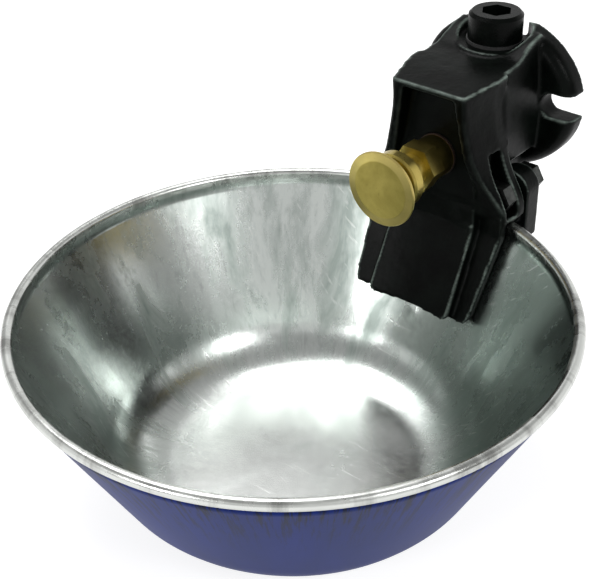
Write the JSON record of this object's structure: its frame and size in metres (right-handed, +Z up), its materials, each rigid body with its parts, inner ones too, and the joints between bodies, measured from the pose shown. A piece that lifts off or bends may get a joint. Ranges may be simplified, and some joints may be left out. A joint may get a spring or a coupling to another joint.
{
  "type": "livestock drinking bowl",
  "caption": "Round steel drinking bowl clamped to a cast valve body with a sprung brass push valve, a wall flange and a bottom water inlet.",
  "frame": {"origin": "centre of the bowl's flat base, on its underside", "axes": "+Z up along the bowl's axis, +Y from the bowl towards the wall or post that carries it, +X to the right when facing the wall"},
  "size_m": [0.24, 0.281, 0.1707],
  "materials": {
    "bowl_steel": "worn bare inside, blue outside",
    "cast_black": "black coating on a rough casting",
    "fastener_steel": "plated",
    "plug_black": "black, worn at the edges",
    "valve_brass": "dull, tarnished",
    "seal_rubber": "black",
    "seal_fibre": "red fibre",
    "spring_steel": "bright",
    "cage_plastic": "natural white"
  },
  "bodies": {
    "housing": {"bowl": "bowl_steel", "valve_body": "cast_black", "clamp_shoe": "cast_black", "clamp_bolts": "fastener_steel", "clamp_washers": "fastener_steel", "clamp_nuts": "fastener_steel", "plug_seal": "seal_rubber", "top_plug": "plug_black", "inlet_strainer": "cage_plastic", "barrel_seal": "seal_fibre", "valve_barrel": "valve_brass", "guide_collar": "valve_brass", "spring_cage": "cage_plastic", "return_spring": "spring_steel"},
    "plunger": {"push_disc": "valve_brass", "plunger_stem": "valve_brass", "seal_washer": "seal_rubber", "seal_holder": "valve_brass", "seal_nut": "valve_brass"}
  },
  "joints": [
    {"name": "plunger_slide", "type": "slide", "parent": "housing", "child": "plunger", "axis": [0, 1, 0], "range_m": [0, 0.005], "stiffness_N_per_m": 800, "springref_m": -0.006, "deforming": ["return_spring"]}
  ]
}
